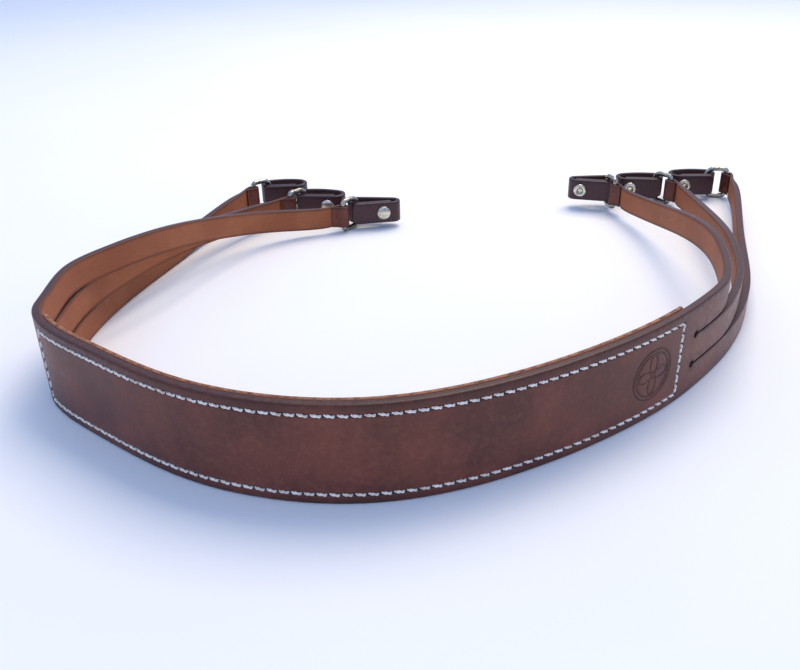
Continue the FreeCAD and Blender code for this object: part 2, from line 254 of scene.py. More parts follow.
def flat_strip(stations, middle, half, height, section, radii=(EDGE_ROUND, EDGE_ROUND)):
    """A flat strip's points as (along, depth, up). Its lower and upper edges have their own radii."""
    k_depth, c_depth, k_up, c_up = section
    low, high = (np.minimum(r, 0.85 * half)[:, None] for r in radii)
    corner = np.where(k_up > 0, high, low)
    reach = np.broadcast_to(np.asarray(height, dtype=float) / 2, half.shape)[:, None]
    depth = middle[:, None] + k_depth * (half[:, None] - corner) + c_depth * corner
    share = (k_up + 1) / 2
    up = (reach - high) * share - (reach - low) * (1 - share) + c_up * corner
    along = np.broadcast_to(stations[:, None], depth.shape)
    return np.stack([along, depth, up], axis=-1)


# %% A mesh with its numbers
def put(name, data):
    """A new object in the scene."""
    obj = bpy.data.objects.new(name, data)
    bpy.context.scene.collection.objects.link(obj)
    return obj


def finish_mesh(name, points, faces, numbers, uv, materials, sharp=38):
    """Makes a smooth mesh object in metres, outward-facing, with its numbers and its flat layout."""
    mesh = bpy.data.meshes.new(name)
    mesh.from_pydata((np.asarray(points) * MM).tolist(), [], faces)
    for key, values in numbers.items():
        mesh.attributes.new(key, "FLOAT", "POINT").data.foreach_set("value", np.asarray(values, "f"))
    layer = mesh.uv_layers.new(name="sheet")
    corners = np.empty(len(mesh.loops), dtype=np.int32)
    mesh.loops.foreach_get("vertex_index", corners)
    layer.data.foreach_set("uv", (np.asarray(uv) * MM)[corners].astype("f").ravel())
    shape = bmesh.new()
    shape.from_mesh(mesh)
    bmesh.ops.recalc_face_normals(shape, faces=shape.faces)
    shape.to_mesh(mesh)
    shape.free()
    mesh.polygons.foreach_set("use_smooth", [True] * len(mesh.polygons))
    mesh.set_sharp_from_angle(angle=math.radians(sharp))
    for material in materials:
        mesh.materials.append(material)
    return put(name, mesh)


def ripple(along, up, size, seed):
    """A soft, fixed unevenness between -1 and 1, from a few crossed waves."""
    total = 0
    for i in range(4):
        turn = seed * 1.7 + i * 2.4
        wave = 2 * math.pi / (size * (1 + 0.37 * i))
        total = total + np.sin((along * math.cos(turn) + up * math.sin(turn)) * wave + seed + i * 1.3)
    return total / 4


# %% [markdown]
# ## Materials
# Vegetable-tanned bridle leather has a smooth, waxed grain side and a paler, fibrous flesh side, and
# its cut edges are burnished dark. One tree makes all the leathers, with different hides' colours.
# Colours are written as sRGB hex and turned linear, because the shader works in linear light.

# %% Colours and nodes
def linear(hex_colour):
    """An sRGB hex colour as linear RGBA."""
    values = [int(hex_colour[i:i + 2], 16) / 255 for i in (1, 3, 5)]
    return [v / 12.92 if v <= 0.04045 else ((v + 0.055) / 1.055) ** 2.4 for v in values] + [1.0]


def add(tree, kind, settings=None, **links):
    """Adds a node. Settings are its properties, and links are sockets or values by input name."""
    node = tree.nodes.new(kind)
    for key, value in (settings or {}).items():
        setattr(node, key, value)
    for key, value in links.items():
        wanted = key.replace("_", " ")
        socket = next(s for s in node.inputs if s.enabled and s.name == wanted)
        if isinstance(value, bpy.types.NodeSocket):
            tree.links.new(value, socket)
        else:
            socket.default_value = value
    return node


def new_material(name):
    """An empty node material with its output and a Principled shader linked to it."""
    material = bpy.data.materials.new(name)
    material.use_nodes = True
    tree = material.node_tree
    tree.nodes.clear()
    shader = tree.nodes.new("ShaderNodeBsdfPrincipled")
    output = tree.nodes.new("ShaderNodeOutputMaterial")
    tree.links.new(shader.outputs["BSDF"], output.inputs["Surface"])
    return material, tree, shader


def per(size_mm):
    """A texture's scale for a feature of this size."""
    return 1 / (size_mm * MM)


def blend_colours(tree, factor, one, two):
    """A colour between two. Hex text or sockets go in, and a socket comes out."""
    node = tree.nodes.new("ShaderNodeMix")
    node.data_type = "RGBA"
    for socket, value in ((node.inputs[0], factor), (node.inputs[6], one), (node.inputs[7], two)):
        if isinstance(value, bpy.types.NodeSocket):
            tree.links.new(value, socket)
        else:
            socket.default_value = linear(value) if isinstance(value, str) else value
    return node.outputs[2]


def step_between(tree, value, low, high, to_low=0.0, to_high=1.0):
    """A smooth step of a value between two limits."""
    node = add(tree, "ShaderNodeMapRange", {"interpolation_type": "SMOOTHSTEP"}, Value=value,
               From_Min=low, From_Max=high, To_Min=to_low, To_Max=to_high)
    return node.outputs["Result"]


def noise(tree, place, size_mm, **more):
    """The value of a noise texture whose features are about this size."""
    return add(tree, "ShaderNodeTexNoise", Vector=place, Scale=per(size_mm), **more).outputs["Fac"]


def calculate(tree, operation, *values):
    """One sum on sockets or numbers, given in the node's own order."""
    node = add(tree, "ShaderNodeMath", {"operation": operation})
    for socket, value in zip(node.inputs, values):
        if isinstance(value, bpy.types.NodeSocket):
            tree.links.new(value, socket)
        else:
            socket.default_value = value
    return node.outputs[0]


def roughen(tree, shader, strength, depth_mm, height):
    """Bumps a shader's surface."""
    bump = add(tree, "ShaderNodeBump", Strength=strength, Distance=depth_mm * MM, Height=height)
    tree.links.new(bump.outputs["Normal"], shader.inputs["Normal"])


# %% Leather
def leather(name, grain, flesh, edge, coat=0.06, rough=0.42, wear="#8a5642"):
    """Waxed grain on one side, brushed fibres on the other and a burnished edge between them.

    grain and flesh are pairs of hex colours that the hide varies between. Pores are drawn 0.9 mm
    across, coarser than the real ones, so that they still show.
    """
    material, tree, shader = new_material(name)
    place = add(tree, "ShaderNodeTexCoord").outputs["Object"]
    sheet = add(tree, "ShaderNodeUVMap", {"uv_map": "sheet"}).outputs["UV"]
    side, rim, groove_shade = (add(tree, "ShaderNodeAttribute", {"attribute_name": n}).outputs["Fac"]
                       for n in ("side", "rim", "groove_shade"))
    cloud = noise(tree, place, 26, Detail=3.0)
    mottle = noise(tree, place, 2.2, Detail=5.0, Roughness=0.65)
    crease = noise(tree, place, 1.5, Detail=4.0, Distortion=1.4)
    pores = add(tree, "ShaderNodeTexVoronoi", {"feature": "SMOOTH_F1"}, Vector=place,
                Scale=per(0.9), Smoothness=0.6).outputs["Distance"]
    long_fibres = add(tree, "ShaderNodeMapping", Vector=sheet, Scale=(0.16, 1.0, 1.0)).outputs["Vector"]
    fibres = noise(tree, long_fibres, 0.9, Detail=6.0, Roughness=0.7)

    clouded = step_between(tree, cloud, 0.32, 0.68)
    mottled = step_between(tree, mottle, 0.35, 0.7)
    grain_colour = blend_colours(tree, clouded, grain[0], grain[1])
    grain_colour = blend_colours(tree, step_between(tree, mottle, 0.4, 0.75, 0, 0.35), grain_colour, wear)
    pore_shade = step_between(tree, pores, 0.0, 0.35, 0.45, 0.0)
    grain_colour = blend_colours(tree, pore_shade, grain_colour, "#1c0f0f")
    worn_rim = calculate(tree, "MULTIPLY", rim, step_between(tree, mottle, 0.38, 0.62, 0.25, 0.8))
    grain_colour = blend_colours(tree, worn_rim, grain_colour, edge)
    flesh_colour = blend_colours(tree, fibres, flesh[0], flesh[1])
    shaded = step_between(tree, clouded, 0.1, 0.9, 0.0, 0.45)
    flesh_colour = blend_colours(tree, shaded, flesh_colour, flesh[0])
    flesh_colour = blend_colours(tree, step_between(tree, rim, 0.2, 1.0, 0.0, 0.55), flesh_colour, edge)
    edge_colour = blend_colours(tree, mottled, edge, grain[0])

    on_edge = step_between(tree, side, 0.06, 0.22)
    on_flesh = step_between(tree, side, 0.82, 0.96)
    colour = blend_colours(tree, on_edge, grain_colour, edge_colour)
    colour = blend_colours(tree, on_flesh, colour, flesh_colour)
    # Painted shade: the tooled stitching lines and the stamped rosette are darkened towards near black by
    # their depth.
    colour = blend_colours(tree, step_between(tree, groove_shade, 0.1, 1.0, 0.0, 0.8), colour, "#170c0c")
    tree.links.new(colour, shader.inputs["Base Color"])

    shine = step_between(tree, mottle, 0.3, 0.75, rough - 0.07, rough + 0.12)
    dull = add(tree, "ShaderNodeMix", {"data_type": "FLOAT"})
    tree.links.new(on_flesh, dull.inputs[0])
    tree.links.new(shine, dull.inputs[2])
    dull.inputs[3].default_value = 0.78
    tree.links.new(dull.outputs[0], shader.inputs["Roughness"])

    relief = calculate(tree, "MULTIPLY_ADD", pores, 0.5, crease)
    rough_side = add(tree, "ShaderNodeMix", {"data_type": "FLOAT"})
    tree.links.new(on_flesh, rough_side.inputs[0])
    tree.links.new(relief, rough_side.inputs[2])
    tree.links.new(fibres, rough_side.inputs[3])
    roughen(tree, shader, 0.4, 0.25, rough_side.outputs[0])
    shader.inputs["IOR"].default_value = 1.5
    shader.inputs["Specular IOR Level"].default_value = 0.35
    shader.inputs["Coat Weight"].default_value = coat
    shader.inputs["Coat Roughness"].default_value = 0.28
    return material


BAND_LEATHER = leather("waxed_bridle_leather", ("#56271c", "#743829"), ("#87492d", "#b06c45"), "#331a14")
LINING_LEATHER = leather("tan_lining_leather", ("#5b3021", "#724030"), ("#8a5030", "#b57345"), "#a8704e",
                         coat=0.0, rough=0.6)
LOOP_LEATHER = leather("burgundy_latigo_leather", ("#33181d", "#452127"), ("#43231f", "#5f352c"), "#241214",
                       coat=0.15, rough=0.4, wear="#5e3538")
print("leathers:", BAND_LEATHER.name, LINING_LEATHER.name, LOOP_LEATHER.name)


# %% [markdown]
# ## Nickel and thread
# The dees and rivets are steel plated with bright nickel, which is warm and slightly yellow, with fine
# polishing marks and a little tarnish in its hollows. The thread is waxed linen: pale, slightly
# translucent and soiled where it has rubbed.

# %% Nickel and thread
def nickel(name, clean, tarnish, rough):
    """Bright plated metal with fine polishing marks and patches of tarnish."""
    material, tree, shader = new_material(name)
    place = add(tree, "ShaderNodeTexCoord").outputs["Object"]
    patches = noise(tree, place, 2.4, Detail=5.0)
    marks = noise(tree, place, 0.35, Detail=3.0, Distortion=2.0)
    colour = blend_colours(tree, step_between(tree, patches, 0.42, 0.7), clean, tarnish)
    tree.links.new(colour, shader.inputs["Base Color"])
    tree.links.new(step_between(tree, patches, 0.35, 0.75, rough, rough + 0.16), shader.inputs["Roughness"])
    roughen(tree, shader, 0.12, 0.05, marks)
    shader.inputs["Metallic"].default_value = 1.0
    return material


def waxed_thread(name):
    """Pale waxed linen, with fine fibres along it and a little soil."""
    material, tree, shader = new_material(name)
    place = add(tree, "ShaderNodeTexCoord").outputs["Object"]
    soil = noise(tree, place, 5, Detail=4.0)
    fluff = noise(tree, place, 0.25, Detail=3.0)
    colour = blend_colours(tree, step_between(tree, soil, 0.4, 0.75), "#f6efe4", "#cdbba8")
    tree.links.new(colour, shader.inputs["Base Color"])
    roughen(tree, shader, 0.4, 0.08, fluff)
    shader.inputs["Roughness"].default_value = 0.6
    shader.inputs["Sheen Weight"].default_value = 0.2
    return material


DEE_NICKEL = nickel("nickel_plated_wire", "#b9b3a4", "#6f6a62", 0.2)
RIVET_NICKEL = nickel("nickel_plated_rivet", "#d6d3c2", "#a9a492", 0.24)
THREAD_WAX = waxed_thread("waxed_linen_thread")
print("metals and thread:", DEE_NICKEL.name, RIVET_NICKEL.name, THREAD_WAX.name)


# %% [markdown]
# ## Laying a flat strip along its route
# The flat strip's first number is distance along the route, its second is the offset to the left of it
# and its third is height. Bending it is only a change of these numbers, so anything can be tooled or
# cut while it is flat, as a saddler does.

# %% Laying
def lay(route, flat, rise=0.0):
    """Flat points as (along, left, up) placed on a route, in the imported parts' place."""
    flat = np.asarray(flat, dtype=float).reshape(-1, 3)
    point, _, left = route.frame(flat[:, 0])
    plan = point + left * flat[:, 1:2] + SHIFT
    return np.column_stack([plan, flat[:, 2] + rise])


def lines_between(breaks):
    """Numbers from (start, end, step) stretches, joined without doubles."""
    out = [breaks[0][0]]
    for start, end, step in breaks:
        count = max(1, round((end - start) / step))
        out += list(np.linspace(start, end, count + 1)[1:])
    return np.array(out)


# %% [markdown]
# ## The wide band
# The outer leather carries two kinds of tooling: the sunk line that the stitches lie in, and a small
# stamped ornament near one end, here a plain four-petalled rosette in a ring. Both are pressed into the
# flat strip's grain side by moving its points, so they are real relief. The round relief holes and the
# slits between the tails are then cut with two booleans, and the strip is bent last.

# Their hollows are also painted darker in the leather's colour, as shade.
# %% Tooling
ROSETTE = (LAST_STITCH - 17.0, BAND_HEIGHT / 2)
ROSETTE_RING = 10.4


def frame_distance(along, up):
    """Distance from the rectangle that the stitches follow."""
    far_along = np.abs(along - (FIRST_STITCH + LAST_STITCH) / 2) - PANEL / 2
    far_up = np.abs(up - BAND_HEIGHT / 2) - (ROWS[1] - ROWS[0]) / 2
    outside = np.hypot(np.maximum(far_along, 0), np.maximum(far_up, 0))
    return np.abs(outside + np.minimum(np.maximum(far_along, far_up), 0))


def rosette_distance(along, up):
    """Distance from the stamped lines: a ring, and four petals inside it."""
    x, y = along - ROSETTE[0], up - ROSETTE[1]
    reach, turn = np.hypot(x, y), np.arctan2(y, x)
    petals = np.abs(reach - (5.2 + 2.9 * np.cos(4 * turn))) / 1.7
    rings = np.minimum(np.abs(reach - ROSETTE_RING), np.abs(reach - ROSETTE_RING + 1.6))
    return np.minimum(rings, np.minimum(petals, np.abs(reach - 1.2)))


def groove_share(along, up):
    """How deep a point lies in the stitching line, from 0 to 1."""
    return np.exp(-(frame_distance(along, up) / 0.62) ** 2)


def stamp_share(along, up):
    """How deep a point lies in the stamped ornament, from 0 to 1."""
    return np.exp(-(rosette_distance(along, up) / 0.42) ** 2)


# %% The flat band
def height_lines(height, rows, fine, coarse):
    """Lines across a strip, close together along its stitch rows."""
    low, high = rows
    return lines_between([(EDGE_ROUND, low - 1.2, coarse), (low - 1.2, low + 1.2, fine),
                          (low + 1.2, high - 1.2, coarse), (high - 1.2, high + 1.2, fine),
                          (high + 1.2, height - EDGE_ROUND, coarse)])


def flat_sheet(start, end, thick, columns, coarse_along, rosette):
    """A sewn sheet as a flat strip, with lines gathered where it is tooled."""
    lines = height_lines(BAND_HEIGHT, ROWS, 0.24, 0.42 if rosette else 1.1)
    factors = (lines - BAND_HEIGHT / 2) / (BAND_HEIGHT / 2 - EDGE_ROUND)
    section = strip_section(factors, edge_lines=3)
    breaks = [(start, columns[0] - 1.2, coarse_along), (columns[0] - 1.2, columns[0] + 1.2, 0.24)]
    if rosette:
        near, far = ROSETTE[0] - 11.4, ROSETTE[0] + 11.4
        breaks += [(columns[0] + 1.2, near, coarse_along), (near, far, 0.38),
                   (far, columns[1] - 1.2, 0.8)]
    else:
        breaks += [(columns[0] + 1.2, columns[1] - 1.2, coarse_along)]
    breaks += [(columns[1] - 1.2, columns[1] + 1.2, 0.24), (columns[1] + 1.2, end, coarse_along)]
    stations = lines_between(breaks)
    half = np.full(len(stations), thick / 2)
    points = flat_strip(stations, half, half, BAND_HEIGHT, section).reshape(-1, 3)
    points[:, 2] += BAND_HEIGHT / 2
    return points, tube_faces(len(stations), section.shape[1])


flat_band, band_faces = flat_sheet(BAND_START, BAND_END, BAND_THICK, (FIRST_STITCH, LAST_STITCH), 1.3, True)
on_grain = flat_band[:, 1] < 0.02
tooled = 0.5 * groove_share(flat_band[:, 0], flat_band[:, 2])
tooled = np.maximum(tooled, 0.42 * stamp_share(flat_band[:, 0], flat_band[:, 2]))
flat_band[:, 1] += np.where(on_grain, tooled, 0)
print("flat band:", len(flat_band), "points,", len(band_faces), "faces")


# %% Cutting the slits and holes
def prism(profile, start, end):
    """A closed bar along the strip, from a profile of (depth, up)."""
    n = len(profile)
    points = [(s, d, z) for s in (start, end) for d, z in profile]
    faces = [(i, (i + 1) % n, n + (i + 1) % n, n + i) for i in range(n)]
    return points, faces + [tuple(range(n))[::-1], tuple(range(n, 2 * n))]


def slit_profile(up):
    """A narrow gap that flares at both faces, as the burnished edges beside it round off."""
    turns = np.linspace(0, math.pi / 2, 6)
    flare = [(SLIT_ROUND * (1 - math.sin(a)), SLIT_ROUND * (1 - math.cos(a))) for a in turns]
    upper = [(-0.5, flare[-1][1] + SLIT / 2)] + [(d, w + SLIT / 2) for d, w in flare[::-1]]
    upper += [(BAND_THICK - d, w + SLIT / 2) for d, w in flare]
    upper += [(BAND_THICK + 0.5, flare[-1][1] + SLIT / 2)]
    return [(d, up + w) for d, w in upper] + [(d, up - w) for d, w in upper[::-1]]


def hole_cutter(along, up, segments=36):
    """A round punch with a slightly flared mouth."""
    rings = [(-0.5, 0.28), (0.0, 0.24), (0.18, 0.08), (0.45, 0.0), (BAND_THICK - 0.45, 0.0),
             (BAND_THICK - 0.18, 0.08), (BAND_THICK, 0.24), (BAND_THICK + 0.5, 0.28)]
    points = []
    for depth, wider in rings:
        for i in range(segments):
            turn = 2 * math.pi * i / segments
            reach = RELIEF_HOLE / 2 + wider
            points.append((along + reach * math.cos(turn), depth, up + reach * math.sin(turn)))
    return points, tube_faces(len(rings), segments)


def raw_object(name, parts):
    """A plain mesh object from one or more closed shapes, still in flat millimetres."""
    shape = bmesh.new()
    for points, faces in parts:
        verts = [shape.verts.new(p) for p in points]
        for face in faces:
            shape.faces.new([verts[i] for i in face])
    bmesh.ops.recalc_face_normals(shape, faces=shape.faces)
    mesh = bpy.data.meshes.new(name)
    shape.to_mesh(mesh)
    shape.free()
    return put(name, mesh)


def cut_away(target, cutters):
    """Cuts each cutter out of a raw object and returns the mesh that is left."""
    for cutter in cutters:
        modifier = target.modifiers.new("cut", "BOOLEAN")
        modifier.operation = "DIFFERENCE"
        modifier.solver = "EXACT"
        modifier.object = cutter
    result = bpy.data.meshes.new_from_object(target.evaluated_get(bpy.context.evaluated_depsgraph_get()))
    for obj in [target, *cutters]:
        bpy.data.objects.remove(obj, do_unlink=True)
    return result


slit_heights = [TAIL_HEIGHT + SLIT / 2, 2 * TAIL_HEIGHT + 1.5 * SLIT]
hole_places = [FIRST_STITCH - HOLE_PAST_STITCHES, LAST_STITCH + HOLE_PAST_STITCHES]
slits = [prism(slit_profile(z), *sorted((s, e))) for z in slit_heights
         for s, e in zip(hole_places, (BAND_START - 2, BAND_END + 2))]
holes = [hole_cutter(s, z) for z in slit_heights for s in hole_places]
cut_band = cut_away(raw_object("flat_band", [(flat_band, band_faces)]),
                    [raw_object("slits", slits), raw_object("holes", holes)])
print("cut band:", len(cut_band.vertices), "points")


# %% The finished band
def mesh_arrays(mesh):
    """A mesh's points and faces."""
    points = np.empty(len(mesh.vertices) * 3)
    mesh.vertices.foreach_get("co", points)
    return points.reshape(-1, 3), [tuple(p.vertices) for p in mesh.polygons]


def sheet_numbers(flat, thick, sunk):
    """The materials' numbers for a flat sheet whose grain face is at depth 0."""
    along, depth, up = flat.T
    edge = np.minimum(up, BAND_HEIGHT - up)
    for s, outward in zip(hole_places, (-1, 1)):
        past = (along - s) * outward > 0
        for z in slit_heights:
            edge = np.where(past, np.minimum(edge, np.abs(up - z) - SLIT / 2), edge)
            edge = np.minimum(edge, np.hypot(along - s, up - z) - RELIEF_HOLE / 2)
    return {"side": np.clip(depth / thick, 0, 1), "rim": 1 - smooth(edge / 4.6), "groove_shade": sunk}


flat_cut, cut_faces = mesh_arrays(cut_band)
grain_face = flat_cut[:, 1] < 0.6
# sunk is each grain point's depth in the tooled lines, and it sets their painted shade.
sunk = np.where(grain_face, np.maximum(groove_share(flat_cut[:, 0], flat_cut[:, 2]),
                                       0.8 * stamp_share(flat_cut[:, 0], flat_cut[:, 2])), 0)
numbers = sheet_numbers(flat_cut, BAND_THICK, sunk)
numbers["side"] = np.where(grain_face & (sunk > 0.02), 0, numbers["side"])
uneven = 0.07 * ripple(flat_cut[:, 0], flat_cut[:, 2], 31, 2.0)
laid = lay(BAND, flat_cut + np.stack([0 * uneven, uneven, 0 * uneven], axis=1) *
           smooth((flat_cut[:, 0:1] - BAND_START) / 12) * smooth((BAND_END - flat_cut[:, 0:1]) / 12))
band = finish_mesh("band", laid, cut_faces, numbers, flat_cut[:, [0, 2]], [BAND_LEATHER])
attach(band, "band")
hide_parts("wide_band")
print("band:", len(band.data.polygons), "faces")

# %% [markdown]
# ## The lining
# The lining is softer, thinner leather, glued to the flesh side of the band and sewn round its edge. It
# stops a little past the stitching, which is why the band looks thicker between its two ends.

# %% The lining
lining_start, lining_end = FIRST_STITCH - LINING_PAST_STITCHES, LAST_STITCH + LINING_PAST_STITCHES
flat_lining, lining_faces = flat_sheet(lining_start, lining_end, LINING_THICK,
                                       (FIRST_STITCH, LAST_STITCH), 1.6, False)
on_face = flat_lining[:, 1] > LINING_THICK - 0.02
share = groove_share(flat_lining[:, 0], flat_lining[:, 2])
# The lining's stitching groove gets painted shade by its depth, through the third number.
numbers = {"side": flat_lining[:, 1] / LINING_THICK,
           "rim": 1 - smooth(np.minimum(flat_lining[:, 2], BAND_HEIGHT - flat_lining[:, 2]) / 2.0),
           "groove_shade": np.where(on_face, share, 0)}
flat_lining[:, 1] += np.where(on_face, -0.5 * share, 0) + BAND_THICK + LINING_GAP
lining = finish_mesh("lining", lay(BAND, flat_lining), lining_faces, numbers, flat_lining[:, [0, 2]],
                     [LINING_LEATHER])
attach(lining, "band")
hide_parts("band_lining")
print("lining:", len(lining.data.polygons), "faces")

# %% [markdown]
# ## Hand stitching
# Two needles pass through each slanted awl hole, so every stitch lies at a small angle and dives into
# the leather at both ends. One stitch is two twisted strands. Geometry Nodes put a copy on each point
# of the row, turned to the row's own direction, with a little seeded unevenness, as handwork has.

# %% One stitch
def twisted_stitch(name, strands=2, around=6, steps=12):
    """A two-strand stitch along X that dives down -Z at its ends. Its length is STITCH_LENGTH."""
    parts = []
    for strand in range(strands):
        points = []
        for i in range(steps + 1):
            t = i / steps
            x = (t - 0.5) * STITCH_LENGTH
            dive = -0.8 * abs(2 * t - 1) ** 6
            turn = math.pi * strand + 2.1 * math.pi * t
            fat = THREAD * 0.36 * (1 - 0.5 * abs(2 * t - 1) ** 4)
            y = THREAD * 0.2 * math.cos(turn)
            z = dive + THREAD * 0.2 * math.sin(turn)
            for j in range(around):
                spin = 2 * math.pi * j / around
                points.append((x, y + fat * math.cos(spin), z + fat * math.sin(spin)))
        parts.append((np.array(points) * MM, tube_faces(steps + 1, around)))
    stitch = raw_object(name, parts)
    stitch.data.polygons.foreach_set("use_smooth", [True] * len(stitch.data.polygons))
    return stitch


STITCH = twisted_stitch("one_stitch")
print("one stitch:", len(STITCH.data.polygons), "faces")


# %% The stitching tree
def stitching_tree():
    """Puts a stitch on every point, along its row and facing out, slanted and slightly uneven."""
    tree = bpy.data.node_groups.new("hand_stitching", "GeometryNodeTree")
    face = tree.interface
    for name, kind in (("Geometry", "Geometry"), ("Stitch", "Object"), ("Slant", "Float"),
                       ("Unevenness", "Float"), ("Seed", "Int"), ("Thread", "Material")):
        face.new_socket(name, in_out="INPUT", socket_type="NodeSocket" + kind)
    face.new_socket("Geometry", in_out="OUTPUT", socket_type="NodeSocketGeometry")
    given = add(tree, "NodeGroupInput").outputs
    along = add(tree, "GeometryNodeInputNamedAttribute", {"data_type": "FLOAT_VECTOR"}, Name="along")
    out = add(tree, "GeometryNodeInputNamedAttribute", {"data_type": "FLOAT_VECTOR"}, Name="out")
    first = add(tree, "FunctionNodeAlignRotationToVector", {"axis": "X"}, Vector=along.outputs[0])
    second = add(tree, "FunctionNodeAlignRotationToVector", {"axis": "Z", "pivot_axis": "X"},
                 Rotation=first.outputs[0], Vector=out.outputs[0])
    spread = add(tree, "FunctionNodeRandomValue", {"data_type": "FLOAT"}, Seed=given["Seed"])
    low = calculate(tree, "MULTIPLY", given["Unevenness"], -1.0)
    floats = [s for s in spread.inputs if s.enabled and s.type == "VALUE"]
    tree.links.new(low, floats[0])
    tree.links.new(given["Unevenness"], floats[1])
    wobble = next(s for s in spread.outputs if s.enabled)
    turn = add(tree, "ShaderNodeCombineXYZ", Z=calculate(tree, "ADD", given["Slant"], wobble))
    euler = add(tree, "FunctionNodeEulerToRotation", Euler=turn.outputs[0])
    turned = add(tree, "FunctionNodeRotateRotation", {"rotation_space": "LOCAL"},
                 Rotation=second.outputs[0], Rotate_By=euler.outputs[0])
    stitch = add(tree, "GeometryNodeObjectInfo", Object=given["Stitch"])
    spots = add(tree, "GeometryNodeInstanceOnPoints", Points=given["Geometry"],
                Instance=stitch.outputs["Geometry"], Rotation=turned.outputs[0])
    real = add(tree, "GeometryNodeRealizeInstances", Geometry=spots.outputs[0])
    painted = add(tree, "GeometryNodeSetMaterial", Geometry=real.outputs[0], Material=given["Thread"])
    end = add(tree, "NodeGroupOutput")
    tree.links.new(painted.outputs[0], end.inputs[0])
    return tree


STITCHING = stitching_tree()
print("stitching tree:", len(STITCHING.nodes), "nodes")


# %% The rows of stitches
def row_points(offset):
    """Every stitch's middle, row direction and height axis, on the face at this offset."""
    middles = FIRST_STITCH + (np.arange(ROW_STITCHES - 1) + 0.5) * STITCH_PITCH
    spots = [(s, z, False) for z in ROWS for s in middles]
    rise = ROWS[1] - ROWS[0]
    count = round(rise / STITCH_PITCH)
    spots += [(s, ROWS[0] + (i + 0.5) * rise / count, True) for s in (FIRST_STITCH, LAST_STITCH)
              for i in range(count)]
    along = np.array([s for s, _, _ in spots])
    _, way, left = BAND.frame(along)
    place = lay(BAND, [(s, offset, z) for s, z, _ in spots]) * MM
    upright = np.array([u for _, _, u in spots])[:, None]
    runs = np.where(upright, [[0, 0, 1]], np.column_stack([way, 0 * along]))
    return place, runs, np.column_stack([left, 0 * along])


def stitch_rows(name, offset, facing, slant, seed, node):
    """One face's stitches as one plain mesh."""
    place, runs, left = row_points(offset)
    mesh = bpy.data.meshes.new(name)
    mesh.from_pydata(place.tolist(), [], [])
    for key, values in (("along", runs), ("out", left * facing)):
        mesh.attributes.new(key, "FLOAT_VECTOR", "POINT").data.foreach_set("vector", values.ravel())
    rows = put(name, mesh)
    modifier = rows.modifiers.new("stitching", "NODES")
    modifier.node_group = STITCHING
    wanted = {"Stitch": STITCH, "Slant": slant, "Unevenness": 0.07, "Seed": seed, "Thread": THREAD_WAX}
    for item in STITCHING.interface.items_tree:
        if item.item_type == "SOCKET" and item.in_out == "INPUT" and item.name in wanted:
            modifier[item.identifier] = wanted[item.name]
    real = bpy.data.meshes.new_from_object(rows.evaluated_get(bpy.context.evaluated_depsgraph_get()))
    rows.modifiers.clear()
    rows.data = real
    real.polygons.foreach_set("use_smooth", [True] * len(real.polygons))
    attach(rows, "band")
    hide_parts(node)
    print(name, len(real.polygons), "faces")
    return rows


stitch_rows("stitches_front", 0.12, -1, -0.16, 7, "band_stitching_front")
back_face = BAND_THICK + LINING_GAP + LINING_THICK
stitch_rows("stitches_back", back_face - 0.12, 1, -0.16, 11, "band_stitching_back")
bpy.data.objects.remove(STITCH, do_unlink=True)

# %% [markdown]
# ## The tails
# Each tail starts flush with the band, runs out on its own curve and settles to the height of its dee.
# Its end is thinned, turned round the dee's straight bar and glued back on itself, so the dark grain
# side shows on the inner face there. The tail bends where it leaves the band, and its route starts out
# along the band's own direction.

# %% The tails' shape
DEE_FIT = 0.3
DEE_EYE = WIRE / 2 + DEE_FIT
TURN_BACK = 6.5
THINNED = 1.6
FLAP_SITS = 0.05


def turned_end(length):
    """A tail's middle line as (along, left) points, with its half thickness at each."""
    reach = DEE_EYE + THINNED / 2
    straight = np.arange(0, length - 16, 1.3)
    easing = np.linspace(length - 16, length, 22)[:-1]
    bow = -reach * smooth((easing - length + 14) / 14)
    turn = np.linspace(-math.pi / 2, math.pi / 2, 18)[:-1]
    back = np.linspace(0, 1, 20)
    line = [(s, 0) for s in straight] + list(zip(easing, bow))
    line += [(length + reach * math.cos(a), reach * math.sin(a)) for a in turn]
    line += [(length - TURN_BACK * b, reach + (FLAP_SITS - reach) * smooth(b * 1.25)) for b in back]
    before = np.interp(np.concatenate([straight, easing]), [0, length - 22, length - 6],
                       [BAND_THICK / 2, BAND_THICK / 2, THINNED / 2])
    after = np.interp(back, [0, 0.35, 1], [THINNED / 2, 0.72, 0.35])
    return np.array(line), np.concatenate([before, np.full(len(turn), THINNED / 2), after])


def along_line(line):
    """The distance to each point of a line, and its left-hand side there."""
    steps = np.gradient(line, axis=0)
    way = steps / np.linalg.norm(steps, axis=1)[:, None]
    gone = np.concatenate([[0], np.cumsum(np.linalg.norm(np.diff(line, axis=0), axis=1))])
    return gone, np.stack([-way[:, 1], way[:, 0]], axis=1)


def folded_strip(line, half, height, section, radii):
    """A strip whose middle line turns in plan: its points as (x, y, up), and its numbers."""
    gone, left = along_line(line)
    flat = flat_strip(gone, np.zeros(len(gone)), half, height, section, radii)
    points = np.empty_like(flat)
    points[..., :2] = line[:, None, :] + left[:, None, :] * flat[..., 1:2]
    points[..., 2] = flat[..., 2]
    side = (flat[..., 1] / half[:, None] + 1) / 2
    rim = 1 - smooth((TAIL_HEIGHT / 2 - np.abs(flat[..., 2])) / 2.6)
    numbers = {"side": side.ravel(), "rim": rim.ravel(), "groove_shade": np.zeros(side.size)}
    return points.reshape(-1, 3), flat[..., [0, 2]].reshape(-1, 2), numbers


TAIL_SECTION = strip_section(np.linspace(-1, 1, 13))


def tail_route(name):
    """A tail's plan route, from its hinge to the bar of its dee."""
    root, outward = band_end(name.split("_")[0])
    return Route([tuple(root), tuple(root + outward * 16)] + TAILS[name]["route"])


